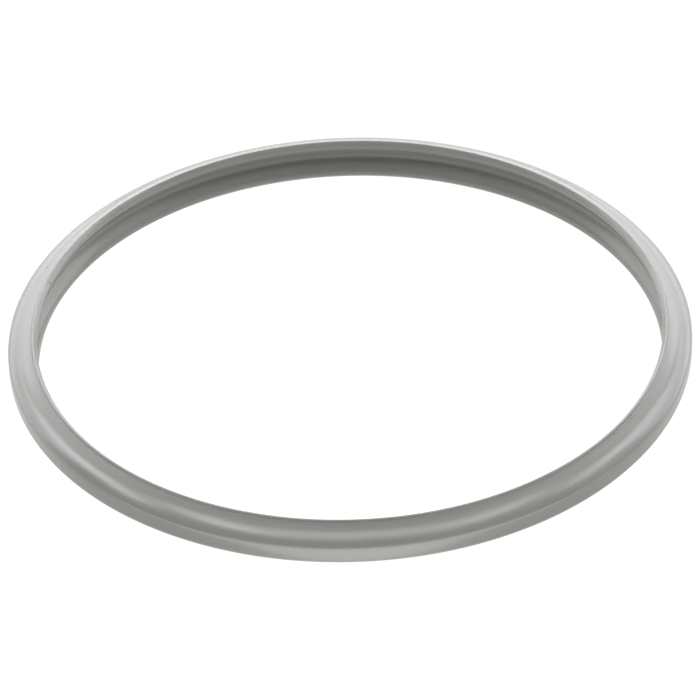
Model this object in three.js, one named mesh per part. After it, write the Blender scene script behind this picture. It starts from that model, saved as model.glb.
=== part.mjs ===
// Sealing ring of a stovetop pressure cooker: one closed ring moulded in grey silicone rubber.
//
// The ring lies flat with its axis on +Z, and the origin is the centre of the plane it rests on.
// All lengths are millimetres. The section is the same all the way round, and its lower half mirrors
// its upper half, so the ring fits either way up:
//
//             crest land      a narrow raised bead, flat on top, that presses on the lid or the pot
//          _____
//         /     \_ foot       the crease where the bead meets the flank
//   lip  |        \_
//   face |          \_ flank  a gently crowned slope from the bead down to the outer wall
//         \           \
//  hollow  >           | wall the upright outer wall, which sits in the lid's channel
//         /          _/
//   (and the same again below the middle plane)
//
// Steam pushes into the hollow of the inner face and drives the two lips apart, onto the lid and the pot.

import * as THREE from "three";

// Driving dimensions
const OUTER_RADIUS = 110; // a ring for a 22 cm pot
const SECTION_WIDTH = 9.45; // outer wall to the inner edge of a lip
const SECTION_HEIGHT = 14.4; // crest land to crest land
const WALL_HEIGHT = 4.9; // upright outer wall, from crease to crease
const FLANK_CROWN = 0.9; // how far the flank bulges over its straight chord
const BEAD_WIDTH = 1.85; // lip edge to the foot of the bead
const BEAD_RISE = 0.85; // crest land over the foot of the bead
const LAND_WIDTH = 0.55; // flat top of the bead
const LIP_DROP = 1.15; // lip edge below the crest land
const LIP_BEVEL = 1.0; // lip edge inside the crest land
const LIP_FACE_HEIGHT = 0.4; // upright face of a lip, between its edge and the hollow
const HOLLOW_DEPTH = 3.2; // depth of the hollow between the two lip faces
const TURNS = 160; // flats round the ring

// Steps in each curved stretch of the half section
const FLANK_STEPS = 5;
const HOLLOW_STEPS = 6;

// Colours and finish
const SILICONE_GREY = new THREE.Color().setRGB(0.206, 0.21, 0.184);
const SILICONE_ROUGHNESS = 0.25;

const innerRadius = OUTER_RADIUS - SECTION_WIDTH;
const halfHeight = SECTION_HEIGHT / 2;

// Points of a shallow arc from a to b, both included, that bulges by `rise` to the left of the way from a to b.
function arcPoints(a, b, rise, steps) {
  const chord = b.clone().sub(a);
  const halfChord = chord.length() / 2;
  const radius = (halfChord ** 2 + rise ** 2) / (2 * rise);
  const left = new THREE.Vector2(-chord.y, chord.x).normalize();
  const centre = a.clone().add(b).multiplyScalar(0.5).addScaledVector(left, rise - radius);
  const start = Math.atan2(a.y - centre.y, a.x - centre.x);
  const sweep = 2 * Math.asin(halfChord / radius);
  return Array.from({ length: steps + 1 }, (_, i) => {
    const angle = start - (sweep * i) / steps;
    return new THREE.Vector2(centre.x + radius * Math.cos(angle), centre.y + radius * Math.sin(angle));
  });
}

// Upper half of the section about the middle plane, from the inner hollow over the bead to the outer wall.
function upperHalf() {
  const lipEdge = new THREE.Vector2(innerRadius, halfHeight - LIP_DROP);
  const hollowRim = new THREE.Vector2(innerRadius, lipEdge.y - LIP_FACE_HEIGHT);
  const landInside = new THREE.Vector2(innerRadius + LIP_BEVEL, halfHeight);
  const landOutside = new THREE.Vector2(landInside.x + LAND_WIDTH, halfHeight);
  const beadFoot = new THREE.Vector2(innerRadius + BEAD_WIDTH, halfHeight - BEAD_RISE);
  const wallTop = new THREE.Vector2(OUTER_RADIUS, WALL_HEIGHT / 2);
  return [
    ...hollowFrom(hollowRim),
    lipEdge,
    landInside,
    landOutside,
    ...arcPoints(beadFoot, wallTop, FLANK_CROWN, FLANK_STEPS),
  ];
}

// The upper half of the hollow, a smooth cosine dip, from just above the middle plane up to its rim.
function hollowFrom(rim) {
  return Array.from({ length: HOLLOW_STEPS }, (_, i) => {
    const share = (i + 1) / HOLLOW_STEPS;
    const dip = (HOLLOW_DEPTH * (1 + Math.cos(Math.PI * share))) / 2;
    return new THREE.Vector2(rim.x + dip, rim.y * share);
  });
}

// The whole closed section: the bottom of the hollow, the upper half, and its mirror image back to the start.
function section() {
  const upper = upperHalf();
  const lower = upper.map((p) => new THREE.Vector2(p.x, -p.y)).reverse();
  const hollowBottom = new THREE.Vector2(innerRadius + HOLLOW_DEPTH, 0);
  return [hollowBottom, ...upper, ...lower, hollowBottom.clone()];
}

function sealingRing() {
  const silicone = new THREE.MeshStandardMaterial({
    color: SILICONE_GREY,
    roughness: SILICONE_ROUGHNESS,
    metalness: 0,
  });
  const outline = section().reverse();
  const ring = new THREE.Mesh(new THREE.LatheGeometry(outline, TURNS), silicone);
  ring.name = "sealing_ring";
  ring.rotation.x = Math.PI / 2; // a lathe turns about Y: this lays its axis on Z
  ring.position.z = halfHeight;
  return ring;
}

const root = new THREE.Group();
root.add(sealingRing());

export default root;
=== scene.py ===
import math

import bpy
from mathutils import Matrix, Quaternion, Vector


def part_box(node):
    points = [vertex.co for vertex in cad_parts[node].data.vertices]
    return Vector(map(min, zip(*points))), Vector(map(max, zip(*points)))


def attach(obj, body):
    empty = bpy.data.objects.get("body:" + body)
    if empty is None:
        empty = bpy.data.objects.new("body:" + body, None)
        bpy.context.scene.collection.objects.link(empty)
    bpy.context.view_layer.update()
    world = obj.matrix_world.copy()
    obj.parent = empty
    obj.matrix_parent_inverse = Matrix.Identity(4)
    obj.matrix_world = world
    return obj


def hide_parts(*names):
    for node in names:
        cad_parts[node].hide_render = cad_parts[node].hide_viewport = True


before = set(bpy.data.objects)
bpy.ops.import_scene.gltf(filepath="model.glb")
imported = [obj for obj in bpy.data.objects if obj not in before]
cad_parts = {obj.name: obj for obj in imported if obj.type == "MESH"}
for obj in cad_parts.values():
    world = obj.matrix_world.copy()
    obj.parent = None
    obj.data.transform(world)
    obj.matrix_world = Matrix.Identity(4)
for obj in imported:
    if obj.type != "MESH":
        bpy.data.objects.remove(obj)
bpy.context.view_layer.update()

MM = 0.001

# ---------------------------------------------------------------- the ring's section, in metres
RING_LOW, RING_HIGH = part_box("sealing_ring")
OUTER_RADIUS = (RING_HIGH.x - RING_LOW.x) / 2
HALF_HEIGHT = (RING_HIGH.z - RING_LOW.z) / 2
SECTION_WIDTH = 9.45 * MM      # outer wall to the inner edge of a lip
INNER_RADIUS = OUTER_RADIUS - SECTION_WIDTH
WALL_HEIGHT = 4.9 * MM         # upright outer wall, from crease to crease
FLANK_CROWN = 0.9 * MM         # how far the flank bulges over its straight chord
BEAD_WIDTH = 1.85 * MM         # lip edge to the foot of the bead
BEAD_RISE = 0.85 * MM          # crest land over the foot of the bead
LAND_WIDTH = 0.55 * MM         # flat top of the bead
LIP_DROP = 1.15 * MM           # lip edge below the crest land
LIP_BEVEL = 1.0 * MM           # lip edge inside the crest land
LIP_FACE_HEIGHT = 0.4 * MM     # upright face of a lip, between its edge and the hollow
HOLLOW_DEPTH = 3.2 * MM        # depth of the hollow between the two lips

# Rounding of the moulded corners
CREASE_ROUND = 2.2 * MM
FOOT_ROUND = 0.55 * MM
LAND_ROUND = 0.35 * MM
LIP_ROUND = 0.9 * MM

# Mesh density
TURNS = 720                    # steps round the ring
FLANK_STEPS = 16
CREASE_SHARE = 2               # of the flank's steps, that the rounded crease takes over
CORNER_STEPS = 6
HOLLOW_STEPS = 18              # from the middle plane to the rim

# A small nick in the edge of the upper lip
NICK_TURN = 329                # whole steps of TURNS round from +X
NICK_SPAN = 3                  # steps on either side that are cut finer
NICK_CUTS = 5                  # cuts in each of those steps
NICK_REACH = 0.75 * MM         # from its middle to where it fades out
NICK_DEPTH = 0.38 * MM

# ---------------------------------------------------------------- material
SILICONE_SHADE = (0.201, 0.205, 0.177)
SILICONE_LIGHT = (0.211, 0.216, 0.191)
BLOOM = (0.245, 0.249, 0.228)  # pale rubbed edges
DUST = (0.31, 0.31, 0.295)
DUST_COVER = 0.7               # of the rubber's colour that a grain hides
SPECK = (0.120, 0.122, 0.108)
SPECK_CORE = 0.3               # of a fleck's radius that is fully dark
SILICONE_ROUGHNESS = 0.25
ROUGHNESS_SWING = 0.02         # smoother and rougher streaks
RUBBED_ROUGHNESS = 0.04        # added where an edge is rubbed
SILICONE_IOR = 1.45
SILICONE_SHINE = 0.7           # specular level

# Noise frequencies, per metre
CLOUDS = 42                    # soft mottling, patches of about 2 cm
STREAKS = 700                  # flow lines along the ring, a little over 1 mm wide
STREAK_STRETCH = 0.03          # their rate of change along the ring, as a share of the rate across
PEEL = 1500                    # orange peel left by the mould, under 1 mm
TURNING = 1900                 # fine rings turned into the mould, about 0.5 mm apart
GRIT = 3600                    # filler in the rubber
DUST_CELLS = 130               # a grain in some cells, each about 8 mm

# Detail and roughness of the finer noises
TURNING_NOISE = (3.0, 0.6)
GRIT_NOISE = (2.0, 0.7)

# How much each pattern tells in the rubber's tone
CLOUD_TONE = 0.4
STREAK_TONE = 0.35
GRIT_TONE = 0.25
TONE_WINDOW = (0.35, 0.65)     # the tones that give the shade and the light colour
STREAK_WINDOW = (0.3, 0.7)     # the streaks that give the smoothest and the roughest rubber

# Rubbed lines: wholly pale within the first distance of an edge, and not at all past the second
LIP_RUB = (0.12 * MM, 0.55 * MM)
BEAD_RUB = (0.2 * MM, 0.65 * MM)
CREASE_RUB = (0.12 * MM, 0.7 * MM)
RUB_WINDOW = (0.3, 0.7)        # the clouds that give the least and the most rubbing
RUB_SHARE = (0.2, 0.55)        # least and most of the pale colour in a rubbed line

GRAIN_SIZE = (0.008, 0.028)    # solid core and outer edge of a grain, as shares of a cell
GRAIN_WINDOW = (0.55, 0.85)    # the cell values that give no grain and a full one

PEEL_HEIGHT = 0.003 * MM
TURNING_HEIGHT = 0.003 * MM
SPECKS = (  # middle and radius of each dark fleck in the rubber
    (Vector((-98.18, 36.35, 13.16)) * MM, 0.75 * MM),
    (Vector((-23.24, -107.52, 6.47)) * MM, 0.42 * MM),
)

# ---------------------------------------------------------------- camera
CAMERA_DISTANCE = 1.4932
CAMERA_ELEVATION = 36.96       # degrees above the floor, looking along +Y
CAMERA_ROLL = 2.034            # degrees
CAMERA_FIELD = 0.1513          # width of the picture over its distance
CAMERA_CLIP = 20               # farthest that it sees, in metres
AIM = Vector((-0.0001, 0.0, 0.0023))

# ---------------------------------------------------------------- lights
LIGHT_DISTANCE = 1.3
CARD_SIZE = (0.72, 0.38)       # glowing card that lies on the table in front of the ring
CARD_GAP = 3 * MM              # from the ring's outer wall
CARD_LIFT = 1 * MM             # off the table
CARD_POWER = 1.38
TABLE_REACH = 3                # from its middle to each side, in metres
TABLE_GREY = 0.1               # so low that the ring leaves no shadow on the glowing table
TABLE_GLOW = 1.02
HORIZON_GLOW = 0.90            # pale walls of the room, low all round
WALL_TOP = (0.06, 0.2)         # sines of the elevations where the walls begin and end their fade
DOME_SHARE = 0.06              # of the walls' glow, overhead
COOL_WHITE = (0.98, 0.985, 1.04)
SOFTBOXES = (
    # name, azimuth and elevation in degrees, width and height in metres, power in watts
    ("back", 90, 22, 0.65, 0.34, 3.81),
    ("back_left", 120, 22, 0.65, 0.34, 2.35),
    ("back_right", 60, 22, 0.65, 0.34, 2.22),
    ("left_back", 150, 22, 0.65, 0.34, 1.63),
    ("right_back", 30, 22, 0.65, 0.34, 1.92),
    ("back_high", 90, 34, 0.6, 0.16, 1.59),
    ("back_high_left", 117, 33, 0.5, 0.16, 1.51),
    ("back_high_right", 63, 33, 0.5, 0.16, 1.45),
    ("back_left_low", 120, 6.5, 0.68, 0.28, 1.5),
    ("back_right_low", 60, 6.5, 0.68, 0.28, 1.44),
    ("left_back_low", 150, 6.5, 0.68, 0.28, 1.62),
    ("right_back_low", 30, 6.5, 0.68, 0.28, 2.09),
    ("high_left", 153, 36, 0.5, 0.34, 2.67),
    ("high_left_back", 124, 46, 0.45, 0.34, 0.7),
    ("high_right", 27, 36, 0.5, 0.34, 2.34),
    ("high_right_back", 56, 46, 0.45, 0.34, 0.65),
    ("right", 0, 28, 0.8, 0.45, 0.89),
    ("top", 270, 88, 0.6, 0.27, 1.62),
    ("top_left", 184.9, 67.9, 0.6, 0.27, 2.50),
    ("top_right", 355.1, 67.9, 0.6, 0.27, 1.82),
    ("rear_top_right", 23.5, 66.2, 0.6, 0.27, 0.3),
    ("rear_far_left", 169, 47.5, 0.6, 0.27, 2.94),
    ("rear_far_right", 11, 47.5, 0.6, 0.27, 2.44),
    ("fore_top", 270, 77, 0.6, 0.27, 1.71),
    ("fore_top_left", 209.8, 65, 0.6, 0.27, 1.18),
    ("fore_top_right", 330.2, 65, 0.6, 0.27, 1.19),
    ("fore_mid", 270, 66, 0.6, 0.27, 0.84),
    ("fore_mid_right", 316, 57, 0.6, 0.27, 0.29),
    ("back_low", 90, 9, 0.6, 0.2, 0.84),
    ("front_right_low", 305, 8, 0.6, 0.3, 0.33),
)


def arc_points(a, b, rise, steps):
    """Points of a shallow arc from a to b, both included, that bulges to the left of the way by rise."""
    way = b - a
    half = way.length / 2
    radius = (half ** 2 + rise ** 2) / (2 * rise)
    left = Vector((-way.y, way.x)).normalized()
    centre = (a + b) / 2 + left * (rise - radius)
    start = math.atan2(a.y - centre.y, a.x - centre.x)
    sweep = 2 * math.asin(half / radius)
    angles = [start - sweep * i / steps for i in range(steps + 1)]
    return [centre + radius * Vector((math.cos(t), math.sin(t))) for t in angles]


def rounded_corner(before, corner, after, radius, steps):
    """A fillet of the given radius at a corner, as a list of points."""
    to_before = (before - corner).normalized()
    to_after = (after - corner).normalized()
    half_angle = to_before.angle(to_after) / 2
    reach = radius / math.tan(half_angle)
    start = corner + to_before * reach
    end = corner + to_after * reach
    centre = corner + (to_before + to_after).normalized() * (radius / math.sin(half_angle))
    points = []
    for i in range(steps + 1):
        spoke = (start - centre).lerp(end - centre, i / steps)
        points.append(centre + spoke.normalized() * radius)
    return points


def hollow_points(rim):
    """The upper half of the hollow, a smooth cosine dip from the middle plane up to its rim."""
    points = []
    for i in range(HOLLOW_STEPS + 1):
        share = i / HOLLOW_STEPS
        dip = HOLLOW_DEPTH * (1 + math.cos(math.pi * share)) / 2
        points.append(Vector((rim.x + dip, rim.y * share)))
    return points


def upper_half():
    """The section above the middle plane, from the bottom of the hollow over the bead to the outer wall."""
    lip_edge = Vector((INNER_RADIUS, HALF_HEIGHT - LIP_DROP))
    hollow_rim = Vector((INNER_RADIUS, lip_edge.y - LIP_FACE_HEIGHT))
    land_inside = Vector((INNER_RADIUS + LIP_BEVEL, HALF_HEIGHT))
    land_outside = Vector((land_inside.x + LAND_WIDTH, HALF_HEIGHT))
    foot = Vector((INNER_RADIUS + BEAD_WIDTH, HALF_HEIGHT - BEAD_RISE))
    wall_top = Vector((OUTER_RADIUS, WALL_HEIGHT / 2))
    wall_middle = Vector((OUTER_RADIUS, 0.0))
    flank = arc_points(foot, wall_top, FLANK_CROWN, FLANK_STEPS)[:-CREASE_SHARE]
    # The rounded crease sits where the flank, run straight on from its last step, meets the wall.
    run_out = flank[-1] - flank[-2]
    crease = flank[-1] + run_out * (OUTER_RADIUS - flank[-1].x) / run_out.x
    return [
        *hollow_points(hollow_rim),
        *rounded_corner(hollow_rim, lip_edge, land_inside, LIP_ROUND, CORNER_STEPS),
        *rounded_corner(lip_edge, land_inside, land_outside, LAND_ROUND, CORNER_STEPS),
        *rounded_corner(land_inside, land_outside, foot, LAND_ROUND, CORNER_STEPS),
        *rounded_corner(land_outside, foot, flank[1], FOOT_ROUND, CORNER_STEPS),
        *flank[2:],
        *rounded_corner(flank[-1], crease, wall_middle, CREASE_ROUND, CORNER_STEPS),
    ]


def section():
    """The whole closed section about the middle plane."""
    upper = upper_half()
    lower = [Vector((p.x, -p.y)) for p in reversed(upper[1:])]
    return upper + lower


def turn_angles():
    """Angles round the ring, a step apart, with extra cuts either side of the nick."""
    steps = []
    for turn in range(TURNS):
        cuts = NICK_CUTS if -NICK_SPAN <= turn - NICK_TURN < NICK_SPAN else 1
        steps.extend(turn + cut / cuts for cut in range(cuts))
    return [2 * math.pi * step / TURNS for step in steps]


def nicked(point, middle):
    """A point of the ring, moved down into the rubber if it is near the nick."""
    share = (point - middle).length / NICK_REACH
    if share >= 1:
        return point
    depth = NICK_DEPTH * (1 + math.cos(math.pi * share)) / 2
    outwards = Vector((point.x, point.y, 0)).normalized()
    return point + (outwards - Vector((0, 0, 1))).normalized() * depth


def ring_mesh():
    """The section swept round the axis, with the nick pushed into its upper lip."""
    outline = section()
    angles = turn_angles()
    count = len(outline)
    lip_height = 2 * HALF_HEIGHT - LIP_DROP
    nick_angle = 2 * math.pi * NICK_TURN / TURNS
    nick = Vector((INNER_RADIUS * math.cos(nick_angle), INNER_RADIUS * math.sin(nick_angle), lip_height))
    verts = []
    for angle in angles:
        c, s = math.cos(angle), math.sin(angle)
        verts.extend(nicked(Vector((p.x * c, p.x * s, p.y + HALF_HEIGHT)), nick) for p in outline)
    faces = []
    for turn in range(len(angles)):
        here, there = turn * count, (turn + 1) % len(angles) * count
        for i in range(count):
            j = (i + 1) % count
            faces.append((here + i, here + j, there + j, there + i))
    mesh = bpy.data.meshes.new("silicone_ring")
    mesh.from_pydata(verts, [], faces)
    mesh.polygons.foreach_set("use_smooth", [True] * len(faces))
    mesh.update()
    return mesh


class Graph:
    """The nodes of one material or world, added a node at a time."""

    def __init__(self, tree):
        self.tree = tree

    def add(self, kind, inputs, output=0, **settings):
        """A node of a kind with its settings; its inputs are values or other nodes' outputs."""
        node = self.tree.nodes.new(kind)
        for name, value in settings.items():
            setattr(node, name, value)
        for socket, value in inputs.items():
            if isinstance(value, bpy.types.NodeSocket):
                self.tree.links.new(value, node.inputs[socket])
            else:
                node.inputs[socket].default_value = value
        return node.outputs[output]

    def math(self, operation, *values):
        return self.add("ShaderNodeMath", dict(enumerate(values)), operation=operation)

    def noise(self, place, scale, detail=2.0, roughness=0.5):
        inputs = {"Vector": place, "Scale": scale, "Detail": detail, "Roughness": roughness}
        return self.add("ShaderNodeTexNoise", inputs)

    def ramp(self, value, start, end, low=0.0, high=1.0):
        """Low where the value is at start or before it, high at end or past it, smooth between them."""
        inputs = {"Value": value, "From Min": start, "From Max": end, "To Min": low, "To Max": high}
        return self.add("ShaderNodeMapRange", inputs, interpolation_type="SMOOTHSTEP")

    def near(self, place, middle, full, none):
        """One within the distance full of a point, falling to zero at the distance none."""
        apart = self.add("ShaderNodeVectorMath", {0: place, 1: middle}, "Value", operation="DISTANCE")
        return self.ramp(apart, full, none, 1.0, 0.0)

    def mix(self, share, first, second):
        colours = [c if isinstance(c, bpy.types.NodeSocket) else (*c, 1) for c in (first, second)]
        return self.add("ShaderNodeMix", {0: share, 6: colours[0], 7: colours[1]}, 2, data_type="RGBA")


def section_place(graph, place):
    """Where a surface point lies in the ring's section, as (radius, 0, height off the middle plane)."""
    flat = graph.add("ShaderNodeVectorMath", {0: place, 1: (1, 1, 0)}, operation="MULTIPLY")
    radius = graph.add("ShaderNodeVectorMath", {0: flat}, "Value", operation="LENGTH")
    height = graph.add("ShaderNodeSeparateXYZ", {0: place}, "Z")
    off_middle = graph.math("ABSOLUTE", graph.math("SUBTRACT", height, HALF_HEIGHT))
    return graph.add("ShaderNodeCombineXYZ", {0: radius, 2: off_middle})


def rubbed_edges(graph, in_section, clouds):
    """How far the lips, beads and creases are rubbed pale: soft lines along those edges."""
    lip_edge = (INNER_RADIUS, 0, HALF_HEIGHT - LIP_DROP)
    land = (INNER_RADIUS + LIP_BEVEL + LAND_WIDTH / 2, 0, HALF_HEIGHT)
    crease = (OUTER_RADIUS, 0, WALL_HEIGHT / 2)
    lines = [
        graph.near(in_section, lip_edge, *LIP_RUB),
        graph.near(in_section, land, *BEAD_RUB),
        graph.near(in_section, crease, *CREASE_RUB),
    ]
    all_lines = graph.math("MAXIMUM", graph.math("MAXIMUM", lines[0], lines[1]), lines[2])
    return graph.math("MULTIPLY", all_lines, graph.ramp(clouds, *RUB_WINDOW, *RUB_SHARE))


def dust_grains(graph, place):
    """Small pale grains of dust, one in the middle of some of the cells of a scattered pattern."""
    cells = {"Vector": place, "Scale": DUST_CELLS}
    apart = graph.add("ShaderNodeTexVoronoi", cells, "Distance")
    chance = graph.add("ShaderNodeTexVoronoi", cells, "Color")
    chosen = graph.ramp(graph.add("ShaderNodeSeparateXYZ", {0: chance}, "X"), *GRAIN_WINDOW)
    return graph.math("MULTIPLY", graph.ramp(apart, *GRAIN_SIZE, 1.0, 0.0), chosen)


def silicone():
    """Moulded grey silicone: mottled, satin, faintly ringed by the mould, paler along rubbed edges."""
    material = bpy.data.materials.new("grey_silicone")
    material.use_nodes = True
    graph = Graph(material.node_tree)
    place = graph.add("ShaderNodeTexCoord", {}, "Object")
    in_section = section_place(graph, place)
    along = graph.add("ShaderNodeVectorMath", {0: place, "Scale": STREAK_STRETCH}, operation="SCALE")
    streak_place = graph.add("ShaderNodeVectorMath", {0: in_section, 1: along}, operation="ADD")
    clouds = graph.noise(place, CLOUDS)
    streaks = graph.noise(streak_place, STREAKS)
    peel = graph.noise(place, PEEL)
    turning = graph.noise(in_section, TURNING, *TURNING_NOISE)
    grit = graph.noise(place, GRIT, *GRIT_NOISE)
    rubbed = rubbed_edges(graph, in_section, clouds)

    tone = graph.math("MULTIPLY", clouds, CLOUD_TONE)
    tone = graph.math("ADD", tone, graph.math("MULTIPLY", streaks, STREAK_TONE))
    tone = graph.math("ADD", tone, graph.math("MULTIPLY", grit, GRIT_TONE))
    colour = graph.mix(graph.ramp(tone, *TONE_WINDOW), SILICONE_SHADE, SILICONE_LIGHT)
    colour = graph.mix(rubbed, colour, BLOOM)
    dust = graph.math("MULTIPLY", dust_grains(graph, place), DUST_COVER)
    colour = graph.mix(dust, colour, DUST)
    for middle, radius in SPECKS:
        colour = graph.mix(graph.near(place, middle, radius * SPECK_CORE, radius), colour, SPECK)

    smoothest = SILICONE_ROUGHNESS - ROUGHNESS_SWING
    roughest = SILICONE_ROUGHNESS + ROUGHNESS_SWING
    rough = graph.ramp(streaks, *STREAK_WINDOW, smoothest, roughest)
    rough = graph.math("ADD", rough, graph.math("MULTIPLY", rubbed, RUBBED_ROUGHNESS))

    normal = graph.add("ShaderNodeBump", {"Height": peel, "Distance": PEEL_HEIGHT, "Strength": 1.0})
    normal = graph.add(
        "ShaderNodeBump",
        {"Height": turning, "Distance": TURNING_HEIGHT, "Strength": 1.0, "Normal": normal},
    )

    shader = material.node_tree.nodes["Principled BSDF"]
    shader.inputs["IOR"].default_value = SILICONE_IOR
    shader.inputs["Specular IOR Level"].default_value = SILICONE_SHINE
    material.node_tree.links.new(colour, shader.inputs["Base Color"])
    material.node_tree.links.new(rough, shader.inputs["Roughness"])
    material.node_tree.links.new(normal, shader.inputs["Normal"])
    return material


def build_ring():
    ring = bpy.data.objects.new("silicone_ring", ring_mesh())
    bpy.context.scene.collection.objects.link(ring)
    ring.data.materials.append(silicone())
    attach(ring, "root")
    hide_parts("sealing_ring")


def build_camera():
    data = bpy.data.cameras.new("camera")
    data.lens = data.sensor_width / CAMERA_FIELD
    data.clip_end = CAMERA_CLIP
    camera = bpy.data.objects.new("camera", data)
    bpy.context.scene.collection.objects.link(camera)
    tilt = math.radians(CAMERA_ELEVATION)
    away = Vector((0, -math.cos(tilt), math.sin(tilt)))
    camera.location = AIM + away * CAMERA_DISTANCE
    camera.rotation_mode = "QUATERNION"
    roll = Quaternion(away, math.radians(-CAMERA_ROLL))
    camera.rotation_quaternion = roll @ away.to_track_quat("Z", "Y")
    bpy.context.scene.camera = camera


def build_floor():
    mesh = bpy.data.meshes.new("floor")
    corners = [(x * TABLE_REACH, y * TABLE_REACH, 0) for x, y in ((-1, -1), (1, -1), (1, 1), (-1, 1))]
    mesh.from_pydata(corners, [], [(0, 1, 2, 3)])
    floor = bpy.data.objects.new("floor", mesh)
    bpy.context.scene.collection.objects.link(floor)
    material = bpy.data.materials.new("white_table")
    material.use_nodes = True
    shader = material.node_tree.nodes["Principled BSDF"]
    shader.inputs["Base Color"].default_value = (TABLE_GREY, TABLE_GREY, TABLE_GREY, 1)
    shader.inputs["Roughness"].default_value = 1.0
    shader.inputs["Specular IOR Level"].default_value = 0.0
    shader.inputs["Emission Color"].default_value = (1, 1, 1, 1)
    shader.inputs["Emission Strength"].default_value = TABLE_GLOW
    mesh.materials.append(material)


def area_light(name, place, facing, width, height, power):
    """A rectangular soft light at a place, shining along the direction it faces."""
    data = bpy.data.lights.new(name, "AREA")
    data.shape = "RECTANGLE"
    data.size = width
    data.size_y = height
    data.energy = power
    data.color = COOL_WHITE
    light = bpy.data.objects.new(name, data)
    bpy.context.scene.collection.objects.link(light)
    light.location = place
    light.rotation_mode = "QUATERNION"
    light.rotation_quaternion = (-facing).to_track_quat("Z", "Y")
    return light


def softbox(name, azimuth, elevation, width, height, power):
    """A soft light on a sphere about the ring, facing its middle."""
    around, up = math.radians(azimuth), math.radians(elevation)
    out = Vector((math.cos(up) * math.cos(around), math.cos(up) * math.sin(around), math.sin(up)))
    area_light(name, out * LIGHT_DISTANCE, -out, width, height, power)


def build_lights():
    for row in SOFTBOXES:
        softbox(*row)
    card_middle = Vector((0, -OUTER_RADIUS - CARD_GAP - CARD_SIZE[1] / 2, CARD_LIFT))
    card = area_light("table_card", card_middle, Vector((0, 0, 1)), *CARD_SIZE, CARD_POWER)
    card.visible_camera = False


def build_world():
    """A room with pale walls low all round, which fade upwards into a dim dome."""
    world = bpy.data.worlds.new("studio")
    world.use_nodes = True
    graph = Graph(world.node_tree)
    way = graph.add("ShaderNodeTexCoord", {}, "Generated")
    height = graph.add("ShaderNodeSeparateXYZ", {0: way}, "Z")
    background = world.node_tree.nodes["Background"]
    background.inputs["Strength"].default_value = HORIZON_GLOW
    glow = graph.ramp(height, *WALL_TOP, 1.0, DOME_SHARE)
    world.node_tree.links.new(glow, background.inputs["Color"])
    bpy.context.scene.world = world


build_camera()
build_ring()
build_floor()
build_lights()
build_world()
bpy.context.scene.view_settings.view_transform = "Standard"
